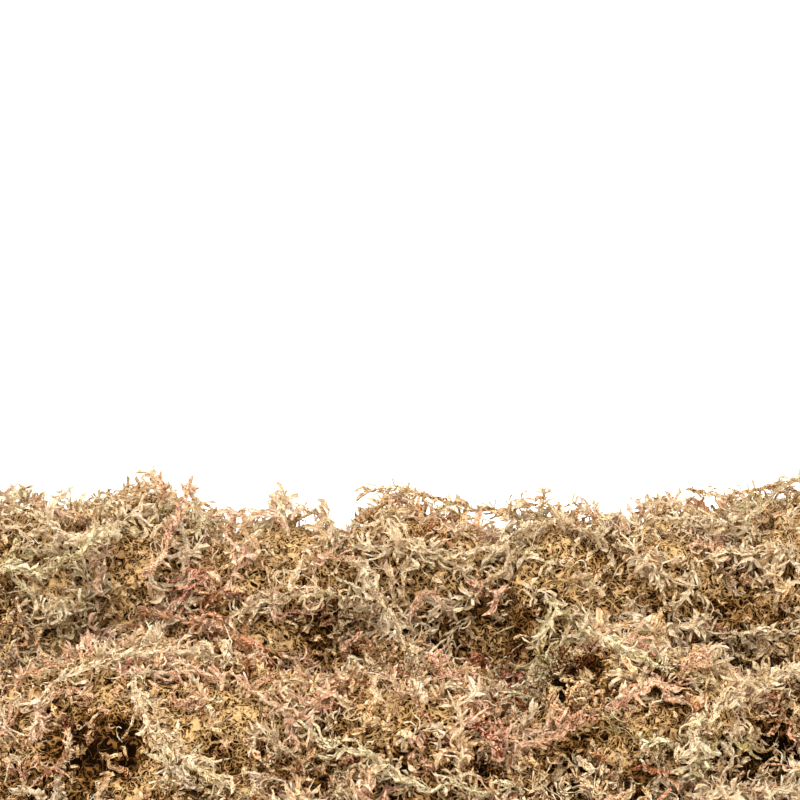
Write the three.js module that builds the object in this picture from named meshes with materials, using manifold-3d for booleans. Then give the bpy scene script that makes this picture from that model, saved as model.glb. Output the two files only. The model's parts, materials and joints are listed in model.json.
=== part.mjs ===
// A heaped clump of loose, dried, long-fibre sphagnum moss.
//
// The clump has no skeleton. It is a pile of tufts, the wads that the dried moss pulls apart into, laid in
// three courses, with long single strands lying loose over them. Each tuft and each strand is a solid of
// its own. Millimetres, +Z up, X along the heap, the front towards -Y. The origin is at the middle of the
// base, on the surface that the heap stands on.

import * as THREE from "three";
import { mergeVertices } from "three/addons/utils/BufferGeometryUtils.js";
import Module from "manifold-3d";

const wasm = await Module();
wasm.setup();

// ---------------------------------------------------------------- driving dimensions

const GAP = 0.35; // kept between pieces that lie against each other
const TUFT_DETAIL = 3; // icosahedron subdivision of a tuft
const LUMPS = 0.1; // how far a tuft's surface swells and dips, as a share of its radius

// The tufts of each course, in the order in which they are laid. x and y are the middle in plan, top is the
// height of the highest point, and size is half the width, half the depth and half the height.
const COURSES = {
  // stands on the ground
  base_tuft: [
    { place: "front_far_left", x: -152, y: -88, top: 74, size: [64, 62, 50], tone: "pink" },
    { place: "front_left", x: -49, y: -97, top: 77, size: [64, 58, 51], tone: "brown" },
    { place: "front_right", x: 55, y: -93, top: 72, size: [62, 60, 48], tone: "straw" },
    { place: "front_far_right", x: 154, y: -86, top: 75, size: [62, 63, 50], tone: "pink" },
    { place: "middle_far_left", x: -165, y: 4, top: 84, size: [50, 56, 52], tone: "brown" },
    { place: "middle_left", x: -86, y: -4, top: 90, size: [54, 56, 54], tone: "straw" },
    { place: "middle_centre", x: 2, y: -6, top: 86, size: [54, 58, 53], tone: "brown" },
    { place: "middle_right", x: 88, y: 2, top: 90, size: [54, 56, 54], tone: "straw" },
    { place: "middle_far_right", x: 166, y: 2, top: 82, size: [49, 58, 51], tone: "olive" },
    { place: "back_far_left", x: -150, y: 94, top: 88, size: [64, 56, 52], tone: "straw" },
    { place: "back_left", x: -50, y: 96, top: 84, size: [62, 56, 50], tone: "olive" },
    { place: "back_right", x: 52, y: 96, top: 88, size: [62, 57, 52], tone: "straw" },
    { place: "back_far_right", x: 152, y: 92, top: 86, size: [64, 57, 52], tone: "brown" },
  ],
  // fills the front slope above the base
  shoulder_tuft: [
    { place: "far_left", x: -166, y: -24, top: 97, size: [44, 48, 38], tone: "olive" },
    { place: "left", x: -88, y: -56, top: 106, size: [66, 44, 42], tone: "pink" },
    { place: "centre", x: 4, y: -46, top: 97, size: [46, 44, 36], tone: "pink" },
    { place: "right", x: 88, y: -44, top: 101, size: [56, 46, 40], tone: "straw" },
    { place: "far_right", x: 165, y: -22, top: 97, size: [44, 50, 38], tone: "straw" },
  ],
  // makes the ridge
  crest_tuft: [
    { place: "far_left", x: -157, y: 54, top: 127, size: [46, 52, 48], tone: "olive" },
    { place: "left", x: -104, y: 68, top: 131, size: [40, 42, 46], tone: "straw" },
    { place: "inner_left", x: -50, y: 38, top: 121, size: [44, 46, 42], tone: "pink" },
    { place: "centre", x: 10, y: 60, top: 128, size: [42, 44, 45], tone: "straw" },
    { place: "inner_right", x: 66, y: 46, top: 123, size: [40, 45, 42], tone: "olive" },
    { place: "right", x: 110, y: 56, top: 127, size: [42, 46, 44], tone: "straw" },
    { place: "far_right", x: 160, y: 58, top: 130, size: [43, 50, 48], tone: "cream" },
  ],
};

// Loose strands: where each starts, which way it runs (degrees, 0 along +X), how much it turns over its
// length, and whether it still has its capitulum, the dense rosette at a living stem's tip.
const STRAND_SIDES = 6;
const STRAND_POINTS = 14; // places at which a strand is laid on what is under it
const STRAND_DROOP = 0.45; // the steepest that a stiff, dry strand bends down, as a slope
// Radius at each percent of the strand's length, swelling where the side branches bunch.
const STRAND_BODY = [[0, 0], [1, 1.1], [10, 1.7], [19, 1.5], [28, 2], [37, 1.6], [46, 2], [55, 1.7]];
const BARE_TIP = [[64, 2], [73, 1.6], [82, 1.8], [91, 1.3], [99, 0.7], [100, 0]];
const HEADED_TIP = [[64, 2], [73, 1.7], [82, 2], [86, 3.6], [91, 5.2], [96, 4.4], [99, 2], [100, 0]];
const LOOSE_STRANDS = [
  { place: "crest_far_left", x: -186, y: 42, heading: 12, turn: -50, length: 76, tone: "cream" },
  { place: "crest_left", x: -96, y: 8, heading: 70, turn: 14, length: 60, head: true, tone: "pink" },
  { place: "crest_centre", x: -14, y: 70, heading: 8, turn: -45, length: 74, tone: "straw" },
  { place: "crest_right", x: 94, y: 30, heading: 16, turn: 24, length: 64, tone: "cream" },
  { place: "crest_far_right", x: 118, y: 72, heading: -28, turn: 40, length: 74, head: true, tone: "straw" },
  { place: "slope_far_left", x: -156, y: 12, heading: 6, turn: 36, length: 50, head: true, tone: "green" },
  { place: "slope_left", x: -98, y: 24, heading: -48, turn: 26, length: 62, tone: "brown" },
  { place: "slope_inner_left", x: -60, y: -2, heading: 4, turn: 40, length: 58, tone: "cream" },
  { place: "slope_centre", x: -18, y: 32, heading: -58, turn: -36, length: 108, tone: "cream" },
  { place: "slope_inner_right", x: 0, y: 32, heading: -20, turn: 54, length: 58, tone: "cream" },
  { place: "slope_right", x: 74, y: 6, heading: -116, turn: 88, length: 76, tone: "green" },
  { place: "slope_far_right", x: 106, y: 8, heading: 24, turn: -100, length: 64, head: true, tone: "cream" },
  { place: "front_far_left", x: -130, y: -80, heading: 40, turn: -32, length: 62, tone: "cream" },
  { place: "front_left", x: -90, y: -72, heading: -92, turn: 84, length: 58, tone: "cream" },
  { place: "front_centre", x: -32, y: -74, heading: -28, turn: 26, length: 76, tone: "green" },
  { place: "front_right", x: 38, y: -76, heading: -6, turn: 58, length: 86, tone: "pink" },
  { place: "front_far_right", x: 96, y: -94, heading: 58, turn: -22, length: 72, head: true, tone: "cream" },
  { place: "back_left", x: -140, y: 96, heading: -10, turn: 50, length: 78, tone: "straw" },
  { place: "back_centre", x: -38, y: 104, heading: -20, turn: 48, length: 84, head: true, tone: "cream" },
  { place: "back_right", x: 92, y: 104, heading: 16, turn: -52, length: 80, tone: "olive" },
];

// The dried moss bleaches from brown to cream. Some stays olive or pale green, and some is flushed with pink.
const TONES = {
  straw: { color: "#c9ab7c", roughness: 0.9 },
  cream: { color: "#e2d2ac", roughness: 0.88 },
  olive: { color: "#a8965c", roughness: 0.92 },
  green: { color: "#dde1bd", roughness: 0.88 },
  pink: { color: "#cf9a7c", roughness: 0.9 },
  brown: { color: "#9a774a", roughness: 0.94 },
};

// ---------------------------------------------------------------- solids

// A manifold solid of a closed three.js geometry.
function solidOf(geometry) {
  const bare = geometry.clone();
  bare.deleteAttribute("normal");
  bare.deleteAttribute("uv");
  const merged = mergeVertices(bare, 1e-3);
  return new wasm.Manifold(
    new wasm.Mesh({
      numProp: 3,
      vertProperties: new Float32Array(merged.getAttribute("position").array),
      triVerts: new Uint32Array(merged.index.array),
    }),
  );
}

// A three.js geometry of a manifold solid.
function geometryOf(solid) {
  const mesh = solid.getMesh();
  const geometry = new THREE.BufferGeometry();
  geometry.setAttribute("position", new THREE.BufferAttribute(mesh.vertProperties, mesh.numProp));
  geometry.setIndex(new THREE.BufferAttribute(mesh.triVerts, 1));
  geometry.computeVertexNormals();
  return geometry;
}

// The largest of a solid's separate bodies: a cut can leave crumbs.
function mainBody(solid) {
  return solid.decompose().reduce((a, b) => (b.volume() > a.volume() ? b : a));
}

// ---------------------------------------------------------------- tufts

// How far a tuft's surface lies from its centre, as a share of its radius, in a direction.
// Each tuft has its own phase, so that no two have the same lumps.
function swell(direction, phase) {
  const { x, y, z } = direction;
  const broad = Math.sin(2.6 * x + 1.7 * z + phase) * Math.cos(2.9 * y - 1.3 * x + 2.1 * phase);
  const fine = Math.sin(6.1 * y + 4.3 * z - 1.7 * phase) * Math.cos(5.3 * x + 3.1 * phase);
  return 1 + LUMPS * (broad + 0.6 * fine);
}

// A lumpy ellipsoid about its own centre, grown outwards by a margin.
function lumpGeometry(size, phase, margin) {
  const geometry = new THREE.IcosahedronGeometry(1, TUFT_DETAIL);
  const position = geometry.getAttribute("position");
  const direction = new THREE.Vector3();
  for (let i = 0; i < position.count; i++) {
    direction.fromBufferAttribute(position, i);
    const reach = swell(direction, phase);
    const [x, y, z] = direction.toArray().map((part, axis) => part * (size[axis] * reach + margin));
    position.setXYZ(i, x, y, z);
  }
  return geometry;
}

// Each tuft is pressed against the ground and against the tufts laid before it.
function makeTufts() {
  const reach = 1000;
  const ground = solidOf(new THREE.BoxGeometry(reach, reach, reach).translate(0, 0, -reach / 2));
  const plan = Object.entries(COURSES).flatMap(([course, tufts]) =>
    tufts.map((tuft) => ({ ...tuft, name: `${course}_${tuft.place}` })),
  );
  const laid = [];
  return plan.map(({ name, x, y, top, size, tone }, index) => {
    const place = (margin) => solidOf(lumpGeometry(size, index, margin).translate(x, y, top - size[2]));
    let solid = place(0).subtract(ground);
    for (const neighbour of laid) solid = solid.subtract(neighbour);
    laid.push(place(GAP));
    return { name, solid: mainBody(solid), tone };
  });
}

// ---------------------------------------------------------------- loose strands

// The height of the heap's surface at a place, looking straight down.
function surfaceFinder(meshes) {
  const caster = new THREE.Raycaster();
  const down = new THREE.Vector3(0, 0, -1);
  return (x, y) => {
    caster.set(new THREE.Vector3(x, y, 1000), down);
    const hit = caster.intersectObjects(meshes)[0];
    return hit ? hit.point.z : 0;
  };
}

const mean = (values) => values.reduce((sum, value) => sum + value, 0) / values.length;

// A strand's centreline. Its plan is an arc. It lies on the bumps that it meets and spans the dips.
function drapedLine({ x, y, heading, turn, length }, heightAt) {
  const step = length / STRAND_POINTS;
  const plan = [new THREE.Vector2(x, y)];
  for (let i = 0; i < STRAND_POINTS; i++) {
    const angle = THREE.MathUtils.degToRad(heading + (turn * (i + 0.5)) / STRAND_POINTS);
    plan.push(new THREE.Vector2(Math.cos(angle), Math.sin(angle)).multiplyScalar(step).add(plan[i]));
  }
  const under = plan.map((p) => heightAt(p.x, p.y));
  const heldBy = (z, steps) => z - STRAND_DROOP * step * Math.abs(steps);
  const held = plan.map((_, i) => Math.max(...under.map((z, j) => heldBy(z, i - j))));
  const eased = held.map((_, i) => mean(held.slice(Math.max(0, i - 2), i + 3)));
  return new THREE.CatmullRomCurve3(plan.map((p, i) => new THREE.Vector3(p.x, p.y, eased[i])));
}

// A turned spindle, bent so that its axis follows the curve.
function strandSolid(curve, head) {
  const profile = [...STRAND_BODY, ...(head ? HEADED_TIP : BARE_TIP)];
  const outline = profile.map(([percent, radius]) => new THREE.Vector2(radius, percent));
  const spindle = mergeVertices(new THREE.LatheGeometry(outline, STRAND_SIDES));
  const { normals, binormals } = curve.computeFrenetFrames(100);
  const position = spindle.getAttribute("position");
  const point = new THREE.Vector3();
  for (let i = 0; i < position.count; i++) {
    const percent = Math.round(position.getY(i));
    curve.getPointAt(percent / 100, point);
    point.addScaledVector(binormals[percent], position.getX(i));
    point.addScaledVector(normals[percent], position.getZ(i));
    position.setXYZ(i, point.x, point.y, point.z);
  }
  return solidOf(spindle);
}

// Lifts a strand, a little at a time, until it rests on what is under it.
function settle(solid, beneath) {
  const lift = GAP / 2;
  while (solid.intersect(beneath).volume() > 0) solid = solid.translate([0, 0, lift]);
  return solid.translate([0, 0, lift]);
}

function makeStrands(tufts) {
  const heightAt = surfaceFinder(tufts.map(({ solid }) => new THREE.Mesh(geometryOf(solid))));
  let beneath = wasm.Manifold.union(tufts.map(({ solid }) => solid));
  return LOOSE_STRANDS.map((strand) => {
    const solid = settle(strandSolid(drapedLine(strand, heightAt), strand.head), beneath);
    beneath = beneath.add(solid);
    return { name: `loose_strand_${strand.place}`, solid, tone: strand.tone };
  });
}

// ---------------------------------------------------------------- the clump

const clump = new THREE.Group();
const tufts = makeTufts();
for (const { name, solid, tone } of [...tufts, ...makeStrands(tufts)]) {
  const material = new THREE.MeshStandardMaterial({ ...TONES[tone], metalness: 0 });
  const mesh = new THREE.Mesh(geometryOf(solid), material);
  mesh.name = name;
  clump.add(mesh);
}

// The lumps are uneven, so the heap is moved to stand on the middle of its base.
const bounds = new THREE.Box3().setFromObject(clump, true);
clump.position.set(-(bounds.min.x + bounds.max.x) / 2, -(bounds.min.y + bounds.max.y) / 2, -bounds.min.z);

export default clump;
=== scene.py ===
# A clump of dried long-fibre sphagnum moss: leafy strands laid over the tufts of its CAD frame.
# Numbers in the tables are millimetres and degrees; everything in the scene is metres.

import json
import math

import bmesh
import bpy
import numpy as np
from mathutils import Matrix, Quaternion, Vector, noise
from mathutils.bvhtree import BVHTree

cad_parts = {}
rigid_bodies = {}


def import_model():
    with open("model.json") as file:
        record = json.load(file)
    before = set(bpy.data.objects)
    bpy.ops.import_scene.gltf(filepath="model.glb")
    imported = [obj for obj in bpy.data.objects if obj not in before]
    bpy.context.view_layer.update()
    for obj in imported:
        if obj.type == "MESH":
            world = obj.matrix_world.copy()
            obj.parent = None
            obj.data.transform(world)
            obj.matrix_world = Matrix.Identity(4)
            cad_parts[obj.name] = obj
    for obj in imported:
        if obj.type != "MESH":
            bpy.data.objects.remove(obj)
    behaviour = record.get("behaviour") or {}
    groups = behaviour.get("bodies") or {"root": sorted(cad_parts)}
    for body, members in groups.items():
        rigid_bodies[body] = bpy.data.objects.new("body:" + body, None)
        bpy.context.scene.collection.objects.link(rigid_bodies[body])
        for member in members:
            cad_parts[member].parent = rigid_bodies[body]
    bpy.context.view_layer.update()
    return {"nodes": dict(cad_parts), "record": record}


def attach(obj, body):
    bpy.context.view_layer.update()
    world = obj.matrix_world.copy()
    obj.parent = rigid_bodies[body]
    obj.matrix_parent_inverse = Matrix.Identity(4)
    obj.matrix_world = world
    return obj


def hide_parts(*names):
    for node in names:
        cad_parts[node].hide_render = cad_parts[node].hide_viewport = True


bl_info = {
    "name": "Sphagnum Moss Clump",
    "version": (1, 0, 0),
    "blender": (4, 5, 0),
    "location": "View3D > Sidebar > Moss",
    "description": "Covers the tufts and loose strands of a moss clump with dried, leafy strands",
    "category": "Object",
}

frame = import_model()
MM = 0.001
SLOTS = {part["node"]: part["material_slot"] for part in frame["record"]["subparts"]}
TUFTS = sorted(name for name in frame["nodes"] if "_tuft_" in name)
LOOSE_STRANDS = sorted(name for name in frame["nodes"] if name.startswith("loose_strand_"))

# Where each tone lies along the tone axis, from dead stems to the palest leaves.
TONES = {
    "bark": 0.10, "rust": 0.21, "rose": 0.33, "salmon": 0.45,
    "straw": 0.57, "cream": 0.69, "olive": 0.80, "pale": 0.91,
}

# The tone of a loose strand, by the finish of its CAD node.
STRAND_TONES = {
    "straw_moss": "straw", "cream_moss": "cream", "olive_moss": "olive",
    "pink_moss": "salmon", "brown_moss": "rust", "green_moss": "pale",
}

# The strands' tones take this share of a piece's chart, from the left. The litter has the rest.
LEAF_CHART = 0.5

# The chart's height holds shades from this much below nought to one. Leaves in the deepest painted shade are
# dark right through.
DARKEST = 0.3

# How often a strand of each of these tones turns up in a tuft of each finish.
MIX_TONES = ("straw", "cream", "olive", "salmon", "rust", "pale", "rose", "bark")
MIXES = {
    "straw_moss": (36, 22, 9, 17, 6, 8, 1.5, 1.5),
    "cream_moss": (26, 38, 6, 11, 4, 12, 1.5, 1.5),
    "olive_moss": (26, 21, 20, 13, 6, 11, 1, 2),
    "pink_moss": (24, 20, 5, 34, 7, 6, 3, 1),
    "brown_moss": (34, 18, 11, 15, 13, 5, 1.5, 2.5),
    "green_moss": (20, 28, 12, 6, 3, 28, 1, 2),
}

# The branches that strands carry, four shapes a set. A frond: length, width, thickness, leaves a side, bow
# (degrees over its length), curl of its edges. A curl has no leaves: length, width, thickness, rings, bow,
# hook.
BRANCHES = {
    "wool": [
        ("frond", 8.5, 2.6, 0.5, 3, 120, 1.1),
        ("curl", 9.0, 1.1, 0.5, 4, 190, 90),
        ("curl", 9.5, 1.3, 0.5, 3, 150, 60),
        ("frond", 10.0, 2.2, 0.5, 3, 170, 1.0),
    ],
    "leaves": [
        ("frond", 7.5, 1.9, 0.45, 2, 90, 0.8),
        ("frond", 9.5, 1.7, 0.45, 3, 130, 0.7),
        ("frond", 5.8, 2.0, 0.45, 2, 80, 0.9),
        ("curl", 9.5, 1.0, 0.45, 3, 110, -70),
    ],
    "feathers": [
        ("frond", 8.0, 1.4, 0.4, 3, 80, 0.6),
        ("frond", 6.5, 1.5, 0.4, 2, 70, 0.6),
        ("curl", 9.0, 0.9, 0.4, 3, 80, 50),
        ("curl", 7.0, 0.8, 0.4, 3, 110, 70),
    ],
    "wisps": [
        ("curl", 6.0, 0.9, 0.4, 3, 120, 90),
        ("frond", 5.0, 2.0, 0.4, 2, 120, 1.1),
        ("curl", 8.0, 0.7, 0.35, 3, -70, 160),
        ("frond", 4.2, 1.9, 0.4, 2, 90, 0.9),
    ],
    "head": [
        ("frond", 5.0, 2.0, 0.5, 2, 80, 0.6),
        ("frond", 4.2, 1.8, 0.5, 2, 90, 0.6),
        ("frond", 5.8, 1.6, 0.5, 3, 90, 0.5),
        ("frond", 3.4, 1.8, 0.5, 1, 60, 0.5),
    ],
    "scraps": [
        ("frond", 9.0, 2.8, 0.5, 3, 130, 1.3),
        ("frond", 7.5, 3.0, 0.5, 2, 120, 1.4),
        ("curl", 10.5, 1.3, 0.6, 4, 220, 60),
        ("curl", 9.5, 1.5, 0.6, 3, 140, 80),
    ],
}
SHAPES = 4
WOOL, LEAVES, FEATHERS, WISPS, HEAD, SCRAPS = range(len(BRANCHES))

# The sorts of strand. share: of all strands. length: shortest and longest. lie: height over the heap's skin.
# lift: how far the free end may stand off. stem: radius of the stem with the leaves that cling to it. rag:
# how uneven those leaves make it. size: of the branches. tilt: branch to stem. fan and sway: which way round
# the stem the branches stand, from straight up. spacing: from branch to branch. shapes: which set of
# branches. wander: how much it winds. paler: than the rest, or darker where it is below nought.
SORTS = {
    "matted": dict(
        share=12, length=(12, 28), lie=(-1.5, 1.0), lift=2, stem=0.5, rag=0.4, size=1.0,
        tilt=56, fan=90, sway=30, spacing=1.3, shapes=WOOL, wander=0.30, paler=-0.08,
    ),
    "leafy": dict(
        share=30, length=(14, 42), lie=(0.0, 3.5), lift=4, stem=0.6, rag=0.45, size=0.9,
        tilt=24, fan=0, sway=180, spacing=1.05, shapes=LEAVES, wander=0.22, paler=0.02,
    ),
    "feathery": dict(
        share=12, length=(10, 30), lie=(1, 4), lift=5, stem=0.4, rag=0.3, size=1.0,
        tilt=34, fan=84, sway=40, spacing=1.05, shapes=FEATHERS, wander=0.18, paler=0.04,
    ),
    "woolly": dict(
        share=38, length=(7, 14), lie=(-0.5, 3), lift=4, stem=0.35, rag=0.35, size=1.0,
        tilt=48, fan=0, sway=180, spacing=1.0, shapes=WOOL, wander=0.55, paler=0.0,
    ),
    "bleached": dict(
        share=8, length=(14, 36), lie=(2.0, 4.5), lift=4, stem=1.05, rag=0.5, size=0.58,
        tilt=42, fan=0, sway=180, spacing=0.62, shapes=WOOL, wander=0.28, paler=0.30,
    ),
    "bare": dict(
        share=4, length=(14, 50), lie=(1.0, 4.0), lift=6, stem=0.40, rag=0.12, size=0.7,
        tilt=30, fan=0, sway=170, spacing=5.0, shapes=LEAVES, wander=0.12, paler=-0.06,
    ),
}
CURL = dict(
    length=(6, 20), lie=(1.5, 5), lift=5, stem=0.3, rag=0.25, size=0.5,
    tilt=30, fan=0, sway=170, spacing=9.0, shapes=WISPS, wander=0.5, paler=0.42,
)

# From one point of a strand to the next, where it winds a lot and elsewhere.
SHORT_PACE, PACE = 1.4, 2.5

# A strand starts this far under its place, and crinkles this much over lengths of this much.
ROOT_DEPTH = 4.0
CRINKLE, CRINKLE_LENGTH = 2.0, 5

# What stands out on the heap: how far right of the heap's middle and how far behind it, radius, how far it
# stands out or falls in, how much paler or darker it is painted than the moss round it, which is painted
# shade in the gaps and dark places and painted light on the crests, mounds and pale patches, and in some the
# tone that prevails.
LANDMARKS = {
    "left crest": (-115, 20, 18, 9, 0.2, ""),
    "gap in the left crest": (-100, 40, 8, -6, -0.3, ""),
    "pale green tuft on the left": (-130, 30, 15, 4, 0.35, "pale"),
    "rosy patch on the left": (-75, 25, 9, 0, 0.0, "rose"),
    "ridge left of the saddle": (-45, 50, 20, 9, 0.1, ""),
    "salmon ridge by the saddle": (-10, 25, 9, 4, 0.3, "salmon"),
    "gap under the saddle": (-25, 10, 9, -9, -0.5, ""),
    "gap under the middle crest": (15, 15, 11, -8, -0.5, ""),
    "gap halfway down the middle": (10, -45, 9, -8, -0.5, ""),
    "great gap right of the middle": (55, -35, 18, -11, -0.8, ""),
    "gap on the right": (95, -50, 11, -8, -0.6, ""),
    "right crest": (105, 25, 16, 7, 0.3, ""),
    "dark right end": (145, -10, 14, -8, -0.45, ""),
    "rosy patch on the right": (125, -45, 9, 0, 0.1, "rose"),
    "salmon clump low in the middle": (20, -60, 11, 4, 0.1, "salmon"),
    "gap low in the middle": (30, -80, 8, -8, -0.3, ""),
    "gap under the great one": (65, -70, 8, -7, -0.3, ""),
    "gap low on the right": (95, -75, 8, -8, -0.35, ""),
    "pale tuft low on the right": (110, -80, 9, 8, 0.4, "cream"),
    "mound low on the left": (-45, -70, 16, 5, 0.2, ""),
    "dark front left corner": (-110, -85, 18, -9, -0.4, ""),
}

# How much likelier each tone is in some strands than in their tuft's mix. Fine moss is that on the left of
# the front.
LEANINGS = {
    "fine": {"cream": 1.2, "olive": 0.4, "salmon": 1.8, "pale": 0.4},
    "curl": {
        "straw": 0.3, "cream": 3, "olive": 0.6, "salmon": 0.6,
        "rust": 0.3, "pale": 4, "rose": 0.3, "bark": 0.2,
    },
    "bleached": {"cream": 3, "olive": 0.6, "salmon": 0.8, "rust": 0.2, "pale": 4, "rose": 0.3, "bark": 0.1},
    "bare": {"cream": 0.8, "olive": 0.6, "salmon": 0.6, "rust": 2.5, "pale": 0.5, "bark": 8},
}

# From here on in metres. The clump's ends lie farther than the first from its middle, and its back lies
# farther behind than the second. Both are seldom seen.
SEEN_WIDTH, SEEN_DEPTH = 0.172, 0.09

# How many strands there are where the clump is seldom seen, and underneath, against where it is seen most.
HIDDEN_SHARE, UNDER_SHARE = 0.38, 0.05

# Skin that points down more steeply than this is the underside.
UNDERSIDE = -0.75

# A corner lower than this is on the floor.
ON_FLOOR = 0.0005

# The little clumps that the moss of a tuft gathers in, and the patches in which long strands run one way.
CLUMP_WIDTH, SWATHE_WIDTH = 0.017, 0.04

# Below this height the moss is painted no darker towards the bottom.
FOOT_HEIGHT = 0.066

# Moss that would go into the floor is pressed flat over about this height.
PRESSED = 0.0006

# Litter nearer than this to the heap's skin follows it, and the effect fades over this much more.
LITTER_REACH, LITTER_FADE = 0.006, 0.008

# The remesh's cell, and the longest edge in the litter where it is seen and elsewhere.
SKIN_CELL = 0.003
LITTER_EDGE, HIDDEN_EDGE = 0.0045, 0.0075

# A loose strand whose radius is larger than this anywhere has a head.
HEAD_RADIUS = 0.0032

# The lamps: place, width and share of the key light's power. All point at the middle of the heap.
LAMPS = {
    "key lamp": ((-0.45, -0.75, 1.15), 0.9, 1.0),
    "side lamp": ((0.9, -0.35, 0.8), 1.0, 0.35),
    "back lamp": ((0.2, 1.0, 1.0), 1.0, 0.45),
}
LAMP_TARGET = (0, 0, 0.06)
LAMP_COLOUR = (1.0, 0.997, 0.99)
SKY_COLOUR = (1.0, 0.955, 0.895)

# How far the floor goes on each way.
FLOOR_REACH = 15

# A long lens on a camera in front of the clump, which looks down by so many degrees.
CAMERA_PLACE = (0, -0.8153, 0.3858)
LOOKS_DOWN = 14
LENS, SENSOR = 102.9, 36


def linear(code):
    """An sRGB hex colour as linear red, green and blue."""
    parts = [int(code[i : i + 2], 16) / 255 for i in (1, 3, 5)]
    return tuple(c / 12.92 if c <= 0.04045 else ((c + 0.055) / 1.055) ** 2.4 for c in parts)


def ease(x):
    """0 up to nought, 1 from one on, and a smooth rise between."""
    x = min(1.0, max(0.0, x))
    return x * x * (3 - 2 * x)


def swatch(name, code, description):
    """A colour that a user can change."""
    return bpy.props.FloatVectorProperty(
        name=name, description=description, subtype="COLOR", size=3, min=0, max=1, default=linear(code)
    )


class MossColours(bpy.types.PropertyGroup):
    bark: swatch("Bark", "#8A6844", "Old bare stems")
    rust: swatch("Rust", "#C6884F", "Orange-brown dead branches")
    rose: swatch("Rose", "#DC937A", "The reddest leaves")
    salmon: swatch("Salmon", "#EBBD9A", "Leaves with a blush of red")
    straw: swatch("Straw", "#E3C58C", "The common dry leaf")
    cream: swatch("Cream", "#EAD9B5", "Bleached leaves")
    olive: swatch("Olive", "#C4B062", "Leaves that dried green")
    pale: swatch("Pale green", "#EAE3B8", "The palest leaves, white with some green")
    shadow: swatch("Shadow", "#8E5622", "What a leaf's colour is multiplied with deep in the heap")
    bleach: swatch("Bleach", "#EBDDC4", "What the leaf tips fade to")
    # Painted shade in the chinks between leaves.
    between: swatch(
        "Between leaves", "#CC9A60", "What the colour is multiplied with in the chinks between leaves"
    )
    litter: swatch("Litter", "#8C6230", "Matted dead moss between the strands")
    # Painted shade: the near black of the gaps between the litter's threads and of the deepest painted shade
    # on leaves.
    gap: swatch("Gap", "#180B02", "Gaps between the litter's threads, and the deepest leaves")
    thatch: swatch("Thatch", "#D6B07A", "The litter's uppermost threads")


class MossSizes(bpy.types.PropertyGroup):
    strands: bpy.props.IntProperty(
        name="Strands", description="Strands in the whole clump", default=1215, min=50, max=4000
    )
    curls: bpy.props.IntProperty(
        name="Curls", description="Thin bare curls on the outside", default=880, min=0, max=4000
    )
    flakes: bpy.props.FloatProperty(
        name="Flakes", description="Leafy scraps on a square metre of litter", default=30000.0, min=0
    )
    branch: bpy.props.FloatProperty(
        name="Branch scale", description="Size of the branches", default=1.0, min=0.3, max=3
    )
    stem: bpy.props.FloatProperty(
        name="Stem scale", description="Thickness of the stems", default=1.0, min=0.3, max=3
    )
    recess: bpy.props.FloatProperty(
        name="Recess",
        description="How far the strands' bed lies inside the CAD frame",
        default=0.003,
        unit="LENGTH",
    )
    litter: bpy.props.FloatProperty(
        name="Litter depth",
        description="How far the matted litter lies below that bed",
        default=0.0035,
        unit="LENGTH",
    )
    seed: bpy.props.IntProperty(name="Seed", description="Changes every random choice", default=7, min=0)


class MossStage(bpy.types.PropertyGroup):
    floor: swatch("Floor", "#FAFAF8", "Pale floor under the clump")
    key: bpy.props.FloatProperty(
        name="Key light",
        description="Power of the key lamp, of which the two others have a share",
        default=15.0,
        unit="POWER",
    )
    fill: bpy.props.FloatProperty(name="Fill light", description="Brightness all round", default=1.31, min=0)
    glow: bpy.props.FloatProperty(
        name="Floor glow", description="Light from the floor itself, which keeps it white", default=0.4, min=0
    )


def add(tree, kind, wires=None, **settings):
    """Adds one node. wires gives its inputs, by name or number, a value or another node's output."""
    made = tree.nodes.new(kind)
    made.location = (180 * (len(tree.nodes) % 12), -220 * (len(tree.nodes) // 12))
    for name, value in settings.items():
        setattr(made, name, value)
    for name, value in (wires or {}).items():
        if isinstance(value, bpy.types.Node):
            value = value.outputs[0]
        if isinstance(value, bpy.types.NodeSocket):
            tree.links.new(value, made.inputs[name])
        else:
            made.inputs[name].default_value = value
    return made


# ---- Finishes ------------------------------------------------------------------------------------


def curly_threads(tree, coords, sorts):
    """Threads that curl over one another: how high the uppermost one stands, from 0 in a gap.

    sorts: spacing and height. They are coarser than real fibres, which would be too fine to show.
    """
    bent = add(tree, "ShaderNodeTexNoise", {"Vector": coords, "Scale": 1 / 0.0045, "Detail": 1.0})
    swirl = add(
        tree,
        "ShaderNodeVectorMath",
        {0: bent.outputs["Color"], 1: (0.008, 0.008, 0.008), 2: coords},
        operation="MULTIPLY_ADD",
    )
    height = None
    for spacing, level in sorts:
        wave = add(
            tree,
            "ShaderNodeTexNoise",
            {"Vector": swirl, "Scale": 1 / spacing, "Detail": 0.5, "Roughness": 0.4},
        )
        apart = add(tree, "ShaderNodeMath", {0: wave, 1: 0.5}, operation="SUBTRACT")
        apart = add(tree, "ShaderNodeMath", {0: apart}, operation="ABSOLUTE")
        thread = add(
            tree,
            "ShaderNodeMapRange",
            {0: apart, 1: 0.01, 2: 0.085, 3: level, 4: 0.0},
            interpolation_type="SMOOTHSTEP",
        )
        if height is not None:
            thread = add(tree, "ShaderNodeMath", {0: height, 1: thread}, operation="MAXIMUM")
        height = thread
    return height


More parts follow.
